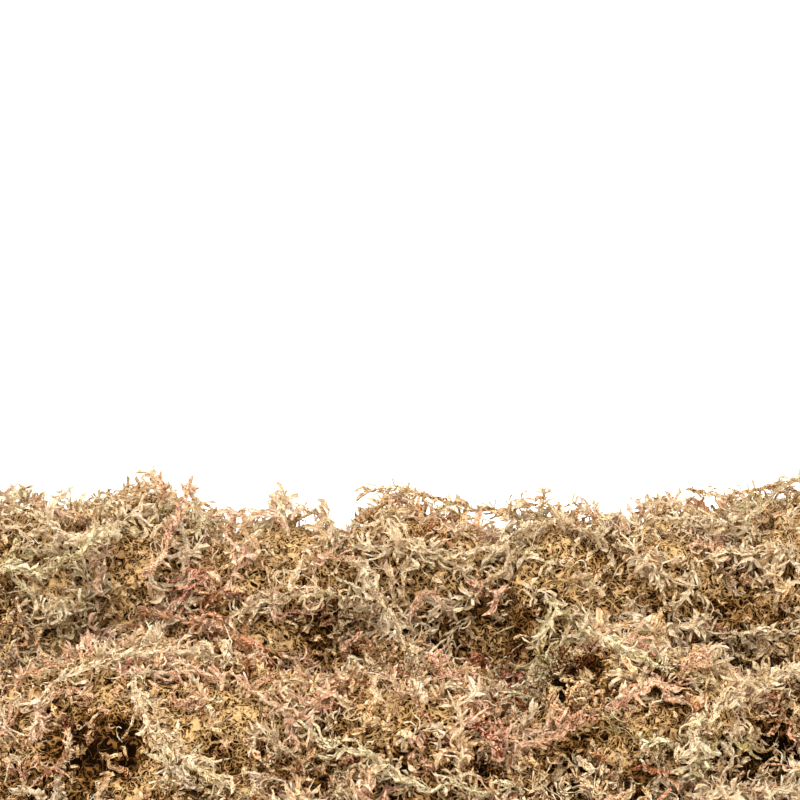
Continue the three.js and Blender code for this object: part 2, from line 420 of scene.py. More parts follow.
def leaf_finish(colours, name="Sphagnum leaf, air dried", rough_in_gaps=0.88, rough_on_threads=0.62):
    """Air-dried sphagnum leaf: papery, matt, pale at the tips and brown where it is old, with painted shade
    that turns it brown to near black in crevices, low down and in the chinks between leaves.
    """
    material = bpy.data.materials.new(name)
    material.use_nodes = True
    tree = material.node_tree
    tree.nodes.clear()
    chart = add(tree, "ShaderNodeUVMap", uv_map="OFBake")
    split = add(tree, "ShaderNodeSeparateXYZ", {0: chart})
    across = add(tree, "ShaderNodeMath", {0: split.outputs[0], 1: LEAF_CHART}, operation="DIVIDE")
    tone = add(tree, "ShaderNodeValToRGB", {0: across})
    ramp = tone.color_ramp
    for i, (label, place) in enumerate(TONES.items()):
        stop = ramp.elements[0] if i == 0 else ramp.elements.new(place)
        stop.position, stop.color = place, (*getattr(colours, label), 1)
    ramp.elements.remove(ramp.elements[-1])
    # Leaf blades 0.7 mm wide, about as fine as the render shows, run outwards and forwards from the middle of
    # a shoot, pale, with painted shade in the gaps between them.
    run = add(tree, "ShaderNodeAttribute", attribute_name="run").outputs["Fac"]
    side = add(tree, "ShaderNodeAttribute", attribute_name="across").outputs["Fac"]
    coords = add(tree, "ShaderNodeTexCoord").outputs["Object"]
    curly = add(tree, "ShaderNodeTexNoise", {"Vector": coords, "Scale": 1 / 0.0032, "Detail": 1.0})
    apart = add(tree, "ShaderNodeMath", {0: side}, operation="ABSOLUTE")
    onward = add(tree, "ShaderNodeMath", {0: apart, 1: -1.2, 2: run}, operation="MULTIPLY_ADD")
    warped = add(tree, "ShaderNodeMath", {0: curly, 1: 4.5, 2: onward}, operation="MULTIPLY_ADD")
    blades = add(tree, "ShaderNodeCombineXYZ", {0: warped, 1: side})
    spread = add(tree, "ShaderNodeVectorMath", {0: blades, 1: (1 / 0.7, 1 / 1.6, 1)}, operation="MULTIPLY")
    placed = add(
        tree, "ShaderNodeVectorMath", {0: coords, 1: (60, 60, 60), 2: spread}, operation="MULTIPLY_ADD"
    )
    blade = add(tree, "ShaderNodeTexNoise", {"Vector": placed, "Scale": 1.0, "Detail": 2.0, "Roughness": 0.6})
    blade = add(
        tree, "ShaderNodeMapRange", {0: blade, 1: 0.36, 2: 0.56, 4: 0.42}, interpolation_type="SMOOTHSTEP"
    )
    wool = curly_threads(tree, coords, ((0.0020, 1.0), (0.0012, 0.8)))
    threads = add(tree, "ShaderNodeMath", {0: wool, 1: 0.58, 2: blade}, operation="MULTIPLY_ADD")
    # Painted shade: the chinks between threads get a lower shade value.
    painted_thread_shade = add(tree, "ShaderNodeMath", {0: threads, 1: 0.88, 2: -0.48 - DARKEST}, operation="MULTIPLY_ADD")
    shade = add(
        tree, "ShaderNodeMath", {0: split.outputs[1], 1: 1 + DARKEST, 2: painted_thread_shade}, operation="MULTIPLY_ADD"
    )
    # Painted shade: where the shade value is low, in crevices, low down and in the landmarks' gaps, the tone
    # is multiplied with the shadow colour, and where it is lowest it goes to the near black gap colour.
    painted_shade_tone = add(
        tree,
        "ShaderNodeMix",
        {0: 1.0, 6: tone, 7: (*colours.shadow, 1)},
        data_type="RGBA",
        blend_type="MULTIPLY",
    )
    depth = add(tree, "ShaderNodeMapRange", {0: shade, 1: 0.0, 2: 0.40}, interpolation_type="SMOOTHSTEP")
    deepest = add(tree, "ShaderNodeMapRange", {0: shade, 1: -0.4, 2: 0.05, 3: 0.85, 4: 0.0})
    painted_shade_tone = add(
        tree, "ShaderNodeMix", {0: deepest, 6: painted_shade_tone.outputs[2], 7: (*colours.gap, 1)}, data_type="RGBA"
    )
    body = add(tree, "ShaderNodeMix", {0: depth, 6: painted_shade_tone.outputs[2], 7: tone}, data_type="RGBA")
    # The highest shades fade to bleach: the pale tips, and the painted light high up and on the crests.
    fade = add(tree, "ShaderNodeMapRange", {0: shade, 1: 0.43, 2: 1.0, 4: 0.85})
    colour = add(
        tree, "ShaderNodeMix", {0: fade, 6: body.outputs[2], 7: (*colours.bleach, 1)}, data_type="RGBA"
    )
    # Painted shade: in the chinks between leaves the colour is multiplied with the between colour.
    between = add(tree, "ShaderNodeMapRange", {0: threads, 1: 0.1, 2: 0.7, 3: 0.7, 4: 0.0})
    colour = add(
        tree,
        "ShaderNodeMix",
        {0: between, 6: colour.outputs[2], 7: (*colours.between, 1)},
        data_type="RGBA",
        blend_type="MULTIPLY",
    )
    # Dry leaves are matt, and a little less so on the threads that stand out.
    rough = add(tree, "ShaderNodeMapRange", {0: threads, 3: rough_in_gaps, 4: rough_on_threads})
    bump = add(tree, "ShaderNodeBump", {"Strength": 0.8, "Distance": 0.0004, "Height": threads})
    surface = {
        "Base Color": colour.outputs[2], "Roughness": rough, "Normal": bump, "Specular IOR Level": 0.07
    }
    skin = add(tree, "ShaderNodeBsdfPrincipled", surface)
    add(tree, "ShaderNodeOutputMaterial", {0: skin})
    return material


def stem_finish(colours):
    """Dried sphagnum stem: a woody rind in the leaves' colours and painted shade, smoother than they are,
    with a dull shine.
    """
    return leaf_finish(colours, "Sphagnum stem, dried rind", rough_in_gaps=0.42, rough_on_threads=0.68)


def litter_finish(colours):
    """Matted dead moss: brown, matt, curly threads 1 to 4 mm apart, one over another, with painted shade in
    the gaps between them and in the hollows.
    """
    material = bpy.data.materials.new("Sphagnum litter, matted")
    material.use_nodes = True
    tree = material.node_tree
    tree.nodes.clear()
    coords = add(tree, "ShaderNodeTexCoord").outputs["Object"]
    height = curly_threads(tree, coords, ((0.0040, 1.0), (0.0028, 0.9), (0.0019, 0.8), (0.0013, 0.65)))
    patches = add(
        tree, "ShaderNodeTexNoise", {"Vector": coords, "Scale": 1 / 0.009, "Detail": 7.0, "Roughness": 0.72}
    )
    # sunk holds painted light and shade from the litter's place: darker low down, in crevices and in the
    # landmarks' gaps, paler on their crests.
    sunk = add(tree, "ShaderNodeAttribute", attribute_name="sunk").outputs["Fac"]
    level = add(tree, "ShaderNodeMath", {0: height, 1: 1.25, 2: -0.15}, operation="MULTIPLY_ADD")
    level = add(tree, "ShaderNodeMath", {0: patches, 1: 0.8, 2: level}, operation="MULTIPLY_ADD")
    level = add(tree, "ShaderNodeMath", {0: level, 1: sunk}, operation="SUBTRACT")
    # Painted shade: the lower a thread and the more the litter is sunk, the darker it is, down to near black
    # in the gaps.
    tint = add(tree, "ShaderNodeValToRGB", {0: level})
    ramp = tint.color_ramp
    ramp.elements[0].position, ramp.elements[1].position = 0.10, 1.0
    ramp.elements[0].color, ramp.elements[1].color = (*colours.gap, 1), (*colours.thatch, 1)
    middle = ramp.elements.new(0.60)
    middle.color = (*colours.litter, 1)
    rough = add(tree, "ShaderNodeMapRange", {0: height, 3: 0.95, 4: 0.78})
    bump = add(tree, "ShaderNodeBump", {"Strength": 1.0, "Distance": 0.0012, "Height": height})
    skin = add(
        tree,
        "ShaderNodeBsdfPrincipled",
        {"Base Color": tint, "Roughness": rough, "Normal": bump, "Specular IOR Level": 0.03},
    )
    add(tree, "ShaderNodeOutputMaterial", {0: skin})
    return material


# ---- The heap that the strands lie on ------------------------------------------------------------


def clump(place):
    """How far inside its little clump a place lies, from 0 in the crevice round it, and the clump's seed."""
    reach, seeds = noise.voronoi(place / CLUMP_WIDTH + noise.noise_vector(place / 0.022) * 0.5)
    return reach[1] - reach[0], seeds[0]


def chance(seed, turn):
    """A number from 0 to 1 that depends only on a clump's seed."""
    return (math.sin(seed.dot(Vector((127.1, 311.7, 74.7))) + 17.0 * turn) * 43758.5453) % 1.0


def cad_mesh(*names):
    """A bmesh copy of CAD nodes, with the corners of their triangles joined."""
    mesh = bmesh.new()
    for name in names:
        mesh.from_mesh(frame["nodes"][name].data)
    bmesh.ops.remove_doubles(mesh, verts=mesh.verts, dist=1e-6)
    return mesh


def store(mesh, fields):
    """Gives every corner of a mesh its number in each field."""
    for field, values in fields.items():
        data = mesh.attributes.new(field, "FLOAT", "POINT").data
        data.foreach_set("value", np.array(values, np.float32))


class Heap:
    """The outside of all the tufts as one skin, and which tuft is under each place on it."""

    def __init__(self, sizes):
        self.owners, corners, triangles = [], [], []
        for name in TUFTS:
            part = cad_mesh(name)
            part.verts.ensure_lookup_table()
            base = len(corners)
            corners += [vertex.co.copy() for vertex in part.verts]
            triangles += [[base + vertex.index for vertex in face.verts] for face in part.faces]
            self.owners += [name] * len(part.faces)
            part.free()
        self.tufts = BVHTree.FromPolygons(corners, triangles)
        self.landmarks = []
        for right, behind, *rest in LANDMARKS.values():
            top = self.tufts.ray_cast(Vector((right * MM, behind * MM, 1)), Vector((0, 0, -1)))[0]
            self.landmarks.append((top, *rest))
        together = cad_mesh(*TUFTS)
        mesh = bpy.data.meshes.new("heap")
        together.to_mesh(mesh)
        together.free()
        helper = bpy.data.objects.new("heap", mesh)
        bpy.context.scene.collection.objects.link(helper)
        merge = helper.modifiers.new("One skin", "REMESH")
        merge.mode, merge.voxel_size = "VOXEL", SKIN_CELL
        soften = helper.modifiers.new("Soften", "SMOOTH")
        soften.factor, soften.iterations = 0.5, 14
        skin = bmesh.new()
        skin.from_mesh(helper.evaluated_get(bpy.context.evaluated_depsgraph_get()).data)
        bpy.data.objects.remove(helper)
        bpy.data.meshes.remove(mesh)
        inner = self.cavities(skin)
        bmesh.ops.delete(skin, geom=inner, context="VERTS")
        skin.normal_update()
        self.depths = [self.relief(vertex.co) / MM for vertex in skin.verts]
        self.up = [vertex.normal.copy() for vertex in skin.verts]
        for vertex, depth in zip(skin.verts, self.depths):
            place = vertex.co + vertex.normal * (depth * MM - sizes.recess)
            place.z = max(place.z, ON_FLOOR)
            vertex.co = place
        skin.normal_update()
        bmesh.ops.triangulate(skin, faces=skin.faces)
        skin.verts.index_update()

        # The remesh gives its faces in another order each time, so they are put in order, cell by cell.
        def place_in_order(face):
            middle = face.calc_center_median()
            return [round(c / 0.03) for c in middle] + [round(c, 5) for c in middle]

        faces = sorted(skin.faces, key=place_in_order)
        self.faces = [[vertex.index for vertex in face.verts] for face in faces]
        self.middles = [face.calc_center_median() for face in faces]
        self.areas = [face.calc_area() for face in faces]
        self.normals = [face.normal.copy() for face in faces]
        self.tree = BVHTree.FromPolygons([vertex.co.copy() for vertex in skin.verts], self.faces)
        skin.free()

    def relief(self, place):
        """How far the moss stands out or falls in: billows, clumps and crevices, and landmarks."""
        # The back is smoother than the front.
        shallower = 1 - 0.45 * ease((place.y + 0.02) / 0.05)
        billows = 4.0 * noise.noise(place / 0.032) + 2.0 * noise.noise(place / 0.010 + Vector((5, 3, 9)))
        out = shallower * (billows + 6.5 * (ease(clump(place)[0] / 0.5) - 0.7))
        for middle, radius, height, _, _ in self.landmarks:
            apart = (place - middle).length / (radius * MM)
            out += height * math.exp(-1.6 * apart * apart)
        return out * MM

    def pale_moss_and_painted_light(self, place):
        """How much painted light and shade the landmarks give the moss at a place: paler on crests and pale
        patches, darker in gaps.
        """
        total = 0.0
        for middle, radius, _, paler, _ in self.landmarks:
            apart = (place - middle).length / (radius * MM)
            total += paler * math.exp(-1.6 * apart**4)
        return total

    @staticmethod
    def cavities(skin):
        """The vertices of every closed skin but the largest."""
        seen, islands = set(), []
        for start in skin.verts:
            if start in seen:
                continue
            island, edge = [], [start]
            seen.add(start)
            while edge:
                vertex = edge.pop()
                island.append(vertex)
                for link in vertex.link_edges:
                    other = link.other_vert(vertex)
                    if other not in seen:
                        seen.add(other)
                        edge.append(other)
            islands.append(island)
        islands.sort(key=len)
        return [vertex for island in islands[:-1] for vertex in island]

    def drop(self, place):
        """The nearest place on the skin, and the way up there."""
        spot, _, face, _ = self.tree.find_nearest(place)
        up = sum((self.up[i] for i in self.faces[face]), Vector())
        return spot, up.normalized()

    def standing(self, place):
        """How far the moss stands out or falls in under a place, in millimetres."""
        return sum(self.depths[i] for i in self.faces[self.tree.find_nearest(place)[2]]) / 3

    def tuft_at(self, place):
        """The name of the tuft whose outside is nearest to a place."""
        return self.owners[self.tufts.find_nearest(place)[2]]


# ---- Laying strands ------------------------------------------------------------------------------


class Lay:
    """The middle lines of many strands, with what each point says of its branches."""

    FIELDS = (
        "tone", "shade", "size", "tilt", "fan", "sway", "spacing", "step", "stem", "rag", "cover", "shapes"
    )

    def __init__(self):
        self.points, self.ups, self.edges = [], [], []
        self.values = {field: [] for field in self.FIELDS}

    def add(self, points, ups, **values):
        """Adds one strand. A value is one for the whole strand or one for each point."""
        base = len(self.points)
        self.points += points
        self.ups += ups
        self.edges += [(base + i, base + i + 1) for i in range(len(points) - 1)]
        for field in self.FIELDS:
            value = values[field]
            self.values[field] += list(value) if hasattr(value, "__len__") else [value] * len(points)

    def mesh(self, name):
        """All the middle lines as a mesh of edges, with the values as attributes."""
        mesh = bpy.data.meshes.new(name)
        mesh.from_pydata(self.points, self.edges, [])
        store(mesh, self.values)
        up = np.array([tuple(u) for u in self.ups], np.float32).ravel()
        mesh.attributes.new("up", "FLOAT_VECTOR", "POINT").data.foreach_set("vector", up)
        return mesh


def walk(heap, rng, start, heading, sort, length, lift, lie):
    """One strand's way over the heap: it comes out of the moss, lies on it and may stand off at its tip."""
    pace = (SHORT_PACE if sort["wander"] > 0.3 else PACE) * MM
    count = max(4, round(length * MM / pace) + 1)
    spot, up = heap.drop(start)
    side = up.orthogonal().normalized()
    way = Quaternion(up, heading) @ side
    turning = rng.normal(0, sort["wander"])
    points, ups = [], []
    phase = Vector(rng.uniform(-50, 50, 3))
    for i in range(count):
        part = i / (count - 1)
        height = lie - ROOT_DEPTH * (1 - ease(part / 0.18)) + lift * ease((part - 0.5) / 0.5)
        crinkle = noise.noise_vector(phase + Vector((part * length / CRINKLE_LENGTH, 0, 0))) * CRINKLE
        place = spot + (up * (height + crinkle.z) + up.cross(way) * crinkle.x) * MM
        place.z = max(place.z, 0.0012)
        points.append(place)
        ups.append(up)
        turning += rng.normal(0, sort["wander"] * 0.5)
        turning *= 0.86
        way = Quaternion(up, turning) @ way
        after, up = heap.drop(spot + way * pace)
        if up.z < UNDERSIDE and i > 3:
            break
        way = after - spot
        way -= up * way.dot(up)
        if way.length < 1e-7:
            break
        way.normalize()
        spot = after
    return points, ups


def taper(count, radius, tip=0.35):
    """Stem radius at each point: full for most of the length, thin at the tip."""
    return [radius * MM * (1 - (1 - tip) * (i / (count - 1)) ** 2.5) for i in range(count)]


def fineness(place):
    """1 on the left of the front, where the moss is finer, and 0 elsewhere."""
    return ease((-0.018 - place.x) / 0.02) * ease((0.02 - place.y) / 0.02)


def in_view(place, normal):
    """Whether a place is where the clump is seen most: its front and top, without the ends."""
    faces_front = normal.dot(Vector((0, -0.95, 0.5))) > -0.12
    return abs(place.x) < SEEN_WIDTH and place.y < SEEN_DEPTH and faces_front


def lay_all(sizes):
    """Lays every strand of the heap and sorts them by the tuft that each one grows from."""
    heap = Heap(sizes)
    rng = np.random.default_rng(sizes.seed)
    lays = {name: Lay() for name in TUFTS}
    weights = []
    for middle, area, normal in zip(heap.middles, heap.areas, heap.normals):
        seen = 1.0 if in_view(middle, normal) else HIDDEN_SHARE
        if normal.z < UNDERSIDE or middle.z < 0.002:
            seen = UNDER_SHARE
        weights.append(area * seen)
    total = np.cumsum(weights)
    total /= total[-1]

    def starts(count):
        """Faces spread evenly over the heap's skin by weight, in random order."""
        steps = (np.arange(count) + rng.random(count)) / count
        return [int(i) for i in rng.permutation(np.searchsorted(total, steps))]

    share = sum(sort["share"] for sort in SORTS.values())
    batches = [(label, sort, round(sizes.strands * sort["share"] / share)) for label, sort in SORTS.items()]
    for batch, (label, sort, count) in enumerate([*batches, ("curl", CURL, sizes.curls)]):
        for i, face in enumerate(starts(count)):
            lay_strand(heap, np.random.default_rng((sizes.seed, batch, i)), lays, sizes, face, sort, label)
    return heap, lays


def lay_strand(heap, rng, lays, sizes, face, sort, label):
    """One strand that starts at a face of the heap's skin."""
    start, normal = heap.middles[face], heap.normals[face]
    # Few strands lie across the gaps.
    if rng.random() < -1.3 * heap.pale_moss_and_painted_light(start):
        return
    owner = heap.tuft_at(start)
    # Strands of one tone keep together, clump by clump and in patches some 35 mm across.
    _, seed = clump(start)
    drift = 0.8 * noise.noise(start / 0.035 + Vector((31, 7, 3))) + 1.5 * (chance(seed, 1) - 0.5)
    odds = np.array(MIXES[SLOTS[owner]], float)
    odds *= np.exp([2.2 * drift * math.cos(2.4 * k) for k in range(len(MIX_TONES))])
    # The moss is finer and pinker on the left of the front than on its right, and coarser where it is seldom
    # seen.
    fine = fineness(start)
    odds *= [LEANINGS["fine"].get(tone, 1) ** fine for tone in MIX_TONES]
    odds *= [LEANINGS.get(label, {}).get(tone, 1) for tone in MIX_TONES]
    name = MIX_TONES[rng.choice(len(MIX_TONES), p=odds / odds.sum())]
    for middle, radius, _, _, prevailing in heap.landmarks:
        if prevailing and (start - middle).length < radius * MM and rng.random() < 0.8:
            name = prevailing
    tone = TONES[name] + rng.uniform(-0.035, 0.035)
    big = 1.10 - 0.20 * fine if in_view(start, normal) else 1.35
    length = rng.uniform(*sort["length"])
    lie = rng.uniform(*sort["lie"])
    lift = sort["lift"] * rng.choice([-0.35, 0.15, 0.5, 1.0], p=[0.35, 0.3, 0.2, 0.15])
    heading = math.tau * chance(seed, 2) + rng.normal(0, 0.5)
    if length > 18 or rng.random() < 0.7 * fine:
        heading = 3.0 * noise.noise(start / SWATHE_WIDTH) * math.pi + rng.normal(0, 0.4 - 0.15 * fine)
    points, ups = walk(heap, rng, start, heading, sort, length, lift, lie)
    count = len(points)
    if count < 4:
        return
    # Painted shade in the crevices, and the landmarks' painted light and shade, at each point of the strand.
    painted_relief_shade = [0.052 * max(-10, min(4, heap.standing(point))) + heap.pale_moss_and_painted_light(point) for point in points]
    # Painted light and shade: the moss is painted paler the higher it lies, high up on the heap and on top of
    # its clumps, and brown and dark in the crevices. It is also paler on the left of the front, and varies
    # from strand to strand and clump to clump.
    shade = 0.62 + 0.07 * fine + sort["paler"] + 0.022 * lie
    shade += 3.2 * (max(start.z, FOOT_HEIGHT) - 0.088)
    shade += rng.normal(0, 0.09)
    shade += 0.36 * (chance(seed, 3) - 0.5) + 0.20 * noise.noise(start / 0.028 + Vector((70, 4, 8)))
    along = [i / (count - 1) for i in range(count)]
    lays[owner].add(
        points,
        ups,
        tone=tone,
        shade=[min(0.80, max(-0.10, shade + relief_shade - 0.16 + 0.24 * f)) for f, relief_shade in zip(along, painted_relief_shade)],
        size=sort["size"] * sizes.branch * big * rng.uniform(0.8, 1.2),
        tilt=math.radians(sort["tilt"]) * rng.uniform(0.7, 1.3),
        fan=math.radians(sort["fan"]),
        sway=math.radians(sort["sway"]),
        spacing=sort["spacing"] * MM * max(0.95, big) * (1 - 0.15 * fine) * rng.uniform(0.85, 1.2),
        step=(1.6 if label == "curl" else 2.4) * MM,
        stem=taper(count, sort["stem"] * sizes.stem * rng.uniform(0.7, 1.2)),
        rag=sort["rag"],
        cover=1.0 if label != "curl" else 0.3,
        shapes=WISPS if label == "woolly" and rng.random() < 0.6 * fine else sort["shapes"],
    )


# ---- Branches and the tree that clads strands with them ------------------------------------------


def frond_shape(rng, length, width, thickness, leaves, bow, curl):
    """A flat frond that grows from the origin along +Z: leaves point outwards and forwards from its rib."""
    outline = [(0.0, -0.3)]
    for side in (-1, 1):
        edge = []
        for i in range(leaves):
            low = (i + 0.45) / (leaves + 0.6)
            reach = width / 2 * (1.05 - 0.40 * low) * rng.uniform(0.8, 1.2)
            edge.append((side * reach, (low + rng.uniform(0.02, 0.10)) * length))
            edge.append((side * width * rng.uniform(0.20, 0.34), (low + rng.uniform(0.10, 0.16)) * length))
        outline += edge if side < 0 else edge[::-1]
        if side < 0:
            outline.append((rng.uniform(-0.1, 0.1) * width, length))
    corners = [(x, rng.uniform(-0.5, 0.5) * curl * min(1.0, abs(x)), z) for x, z in outline]
    rib = length * 0.42
    corners += [(0, thickness / 2, rib), (0, -thickness / 2, rib)]
    count = len(outline)
    faces = [(i, (i + 1) % count, count) for i in range(count)]
    faces += [((i + 1) % count, i, count + 1) for i in range(count)]
    along = [min(1.0, max(0.0, z / length)) for _, _, z in corners]
    swerve = rng.choice((-1, 1)) * rng.uniform(20, 70)

    def bend(part):
        swung = Quaternion((0, 1, 0), math.radians(swerve) * part)
        return swung @ Quaternion((1, 0, 0), -math.radians(bow) * part)

    spine = [Vector()]
    for i in range(12):
        spine.append(spine[-1] + bend((i + 0.5) / 12) @ Vector((0, 0, length / 12)))
    bent = []
    for (x, y, z), part in zip(corners, along):
        i = min(11, int(part * 12))
        on_rib = spine[i].lerp(spine[i + 1], part * 12 - i)
        bent.append(on_rib + bend(part) @ Vector((x, y, 0)) + Vector((0, 0, min(0.0, z))))
    across = [x for x, _, _ in corners]
    return bent, faces, along, across, length


def curl_shape(rng, length, width, thickness, rings, bow, hook):
    """A thin three-sided shoot that grows from the origin along +Z, bows towards +Y and hooks at its tip."""
    place, angle = Vector((0, 0, -0.3)), 0.0
    corners, along, across = [tuple(place)], [0.0], [0.0]
    for i in range(1, rings + 2):
        part = i / (rings + 1)
        angle += math.radians(bow) / (rings + 1) + math.radians(hook) * (1 if i == rings + 1 else 0.25 * part)
        way = Vector((rng.uniform(-0.25, 0.25), math.sin(angle), math.cos(angle)))
        place = place + way * length / (rings + 1)
        for k in range(3 if i <= rings else 1):
            a = math.tau * k / 3
            wide = (width if i <= rings else 0) * rng.uniform(0.7, 1.2)
            flat = math.sin(a) * thickness / 2 * (i <= rings)
            x = place.x + math.cos(a) * wide / 2
            corners.append((x, place.y + flat * math.cos(angle), place.z - flat * math.sin(angle)))
            along.append(part)
            across.append((-0.5, 0.0, 0.5)[k] * width if i <= rings else 0.0)
    last = len(corners) - 1
    faces = [(0, 1 + (k + 1) % 3, 1 + k) for k in range(3)]
    for ring in range(rings - 1):
        low, high = 1 + 3 * ring, 4 + 3 * ring
        faces += [(low + k, low + (k + 1) % 3, high + (k + 1) % 3, high + k) for k in range(3)]
    top = 1 + 3 * (rings - 1)
    faces += [(top + k, top + (k + 1) % 3, last) for k in range(3)]
    return corners, faces, along, across, length


def branch_mesh(name, rng, sort, *measures):
    """A mesh of one of the shapes, which says how far along and across it each corner is."""
    corners, faces, along, across, length = {"frond": frond_shape, "curl": curl_shape}[sort](rng, *measures)
    mesh = bpy.data.meshes.new(name)
    mesh.from_pydata([Vector(c) * MM for c in corners], [], faces)
    shape = bmesh.new()
    shape.from_mesh(mesh)
    bmesh.ops.recalc_face_normals(shape, faces=shape.faces)
    shape.to_mesh(mesh)
    shape.free()
    run = [length * part for part in along]
    store(mesh, {"along": along, "across": across, "run": run, "leaf": [1.0] * len(corners)})
    return mesh


def branch_collection(rng):
    """All the branches as objects of one collection, set by set."""
    held = bpy.data.collections.new("Branches")
    for i, kinds in enumerate(BRANCHES.values()):
        for k, kind in enumerate(kinds):
            name = f"branch_{i}{k}"
            held.objects.link(bpy.data.objects.new(name, branch_mesh(name, rng, *kind)))
    return held


def clad_strand_tree():
    """Geometry Nodes that turn middle lines into tapered stems with branches standing along them."""
    tree = bpy.data.node_groups.new("Clad moss strands", "GeometryNodeTree")
    sockets = [
        ("Geometry", "NodeSocketGeometry", None),
        ("Litter", "NodeSocketObject", None),
        ("Branches", "NodeSocketCollection", None),
        ("Stem sides", "NodeSocketInt", 3),
        ("Flakes", "NodeSocketFloat", 20000.0),
        ("Size variation", "NodeSocketFloat", 0.28),
        ("Tilt variation", "NodeSocketFloat", 0.6),
        ("Shade variation", "NodeSocketFloat", 0.10),
        ("Tone variation", "NodeSocketFloat", 0.03),
        ("Tip fading", "NodeSocketFloat", 0.16),
        ("Seed", "NodeSocketInt", 1),
        ("Leaf finish", "NodeSocketMaterial", None),
        ("Stem finish", "NodeSocketMaterial", None),
    ]
    for name, kind, value in sockets:
        socket = tree.interface.new_socket(name, in_out="INPUT", socket_type=kind)
        if value is not None:
            socket.default_value = value
    tree.interface.new_socket("Geometry", in_out="OUTPUT", socket_type="NodeSocketGeometry")
    given = add(tree, "NodeGroupInput").outputs
    own = {}
    for name in ("up", *Lay.FIELDS, "along", "across", "leaf", "litter", "outer", "tonejit", "shadejit"):
        kind = "FLOAT_VECTOR" if name == "up" else "FLOAT"
        reader = add(tree, "GeometryNodeInputNamedAttribute", {"Name": name}, data_type=kind)
        own[name] = reader.outputs[0]

    # The middle lines, marked with how far along its strand each point is.
    lines = add(tree, "GeometryNodeMeshToCurve", {"Mesh": given["Geometry"]})
    smooth = add(tree, "GeometryNodeCurveSplineType", {"Curve": lines}, spline_type="CATMULL_ROM")
    factor = add(tree, "GeometryNodeSplineParameter")
    marked = add(
        tree, "GeometryNodeStoreNamedAttribute", {"Geometry": smooth, "Name": "along", "Value": factor}
    )
    run = add(tree, "ShaderNodeMath", {0: factor.outputs["Length"], 1: 1 / MM}, operation="MULTIPLY")
    marked = add(tree, "GeometryNodeStoreNamedAttribute", {"Geometry": marked, "Name": "run", "Value": run})

    # Random numbers for each point: from -1 to 1, but the fourth from 0 to 1, and which of a set it gets.
    seeds = [add(tree, "ShaderNodeMath", {0: given["Seed"], 1: float(k)}, operation="ADD") for k in range(9)]
    even = [
        add(tree, "FunctionNodeRandomValue", {2: low, 3: 1.0, 8: seeds[k]}, data_type="FLOAT").outputs[1]
        for k, low in enumerate((-1.0, -1.0, -1.0, 0.0, -1.0, -1.0, -1.0))
    ]
    pick = add(
        tree, "FunctionNodeRandomValue", {4: 0, 5: SHAPES - 1, 8: seeds[7]}, data_type="INT"
    ).outputs[2]

    # Stems: a flattened ring drawn along the line, uneven where leaves cling to it.
    stem_line = add(
        tree, "GeometryNodeResampleCurve", {"Curve": marked, "Length": own["step"]}, mode="LENGTH"
    )
    twist = add(tree, "ShaderNodeMath", {0: even[5], 1: 0.7}, operation="MULTIPLY")
    stem_line = add(tree, "GeometryNodeSetCurveTilt", {"Curve": stem_line, "Tilt": twist})
    uneven = add(tree, "ShaderNodeMath", {0: even[4], 1: own["rag"], 2: 1.0}, operation="MULTIPLY_ADD")
    girth = add(tree, "ShaderNodeMath", {0: uneven, 1: own["stem"]}, operation="MULTIPLY")
    ring = add(tree, "GeometryNodeCurvePrimitiveCircle", {"Resolution": given["Stem sides"], "Radius": 1.0})
    ring = add(tree, "GeometryNodeTransform", {"Geometry": ring, "Scale": (1.15, 0.7, 1.0)})
    number = add(tree, "GeometryNodeInputIndex")
    share = add(tree, "ShaderNodeMath", {0: number, 1: 0.5}, operation="MULTIPLY")
    ring = add(tree, "GeometryNodeStoreNamedAttribute", {"Geometry": ring, "Name": "across", "Value": share})
    stems = add(
        tree,
        "GeometryNodeCurveToMesh",
        {"Curve": stem_line, "Profile Curve": ring, "Scale": girth, "Fill Caps": True},
    )
    stems = add(tree, "GeometryNodeSetMaterial", {"Geometry": stems, "Material": given["Stem finish"]})

    # Branches: the places where they stand on the stem, and how each one's colour varies.
    knots = add(tree, "GeometryNodeResampleCurve", {"Curve": marked, "Length": own["spacing"]}, mode="LENGTH")
    tone_share = add(tree, "ShaderNodeMath", {0: even[4], 1: given["Tone variation"]}, operation="MULTIPLY")
    shade_share = add(tree, "ShaderNodeMath", {0: even[5], 1: given["Shade variation"]}, operation="MULTIPLY")
    knots = add(
        tree, "GeometryNodeStoreNamedAttribute", {"Geometry": knots, "Name": "tonejit", "Value": tone_share}
    )
    knots = add(
        tree, "GeometryNodeStoreNamedAttribute", {"Geometry": knots, "Name": "shadejit", "Value": shade_share}
    )

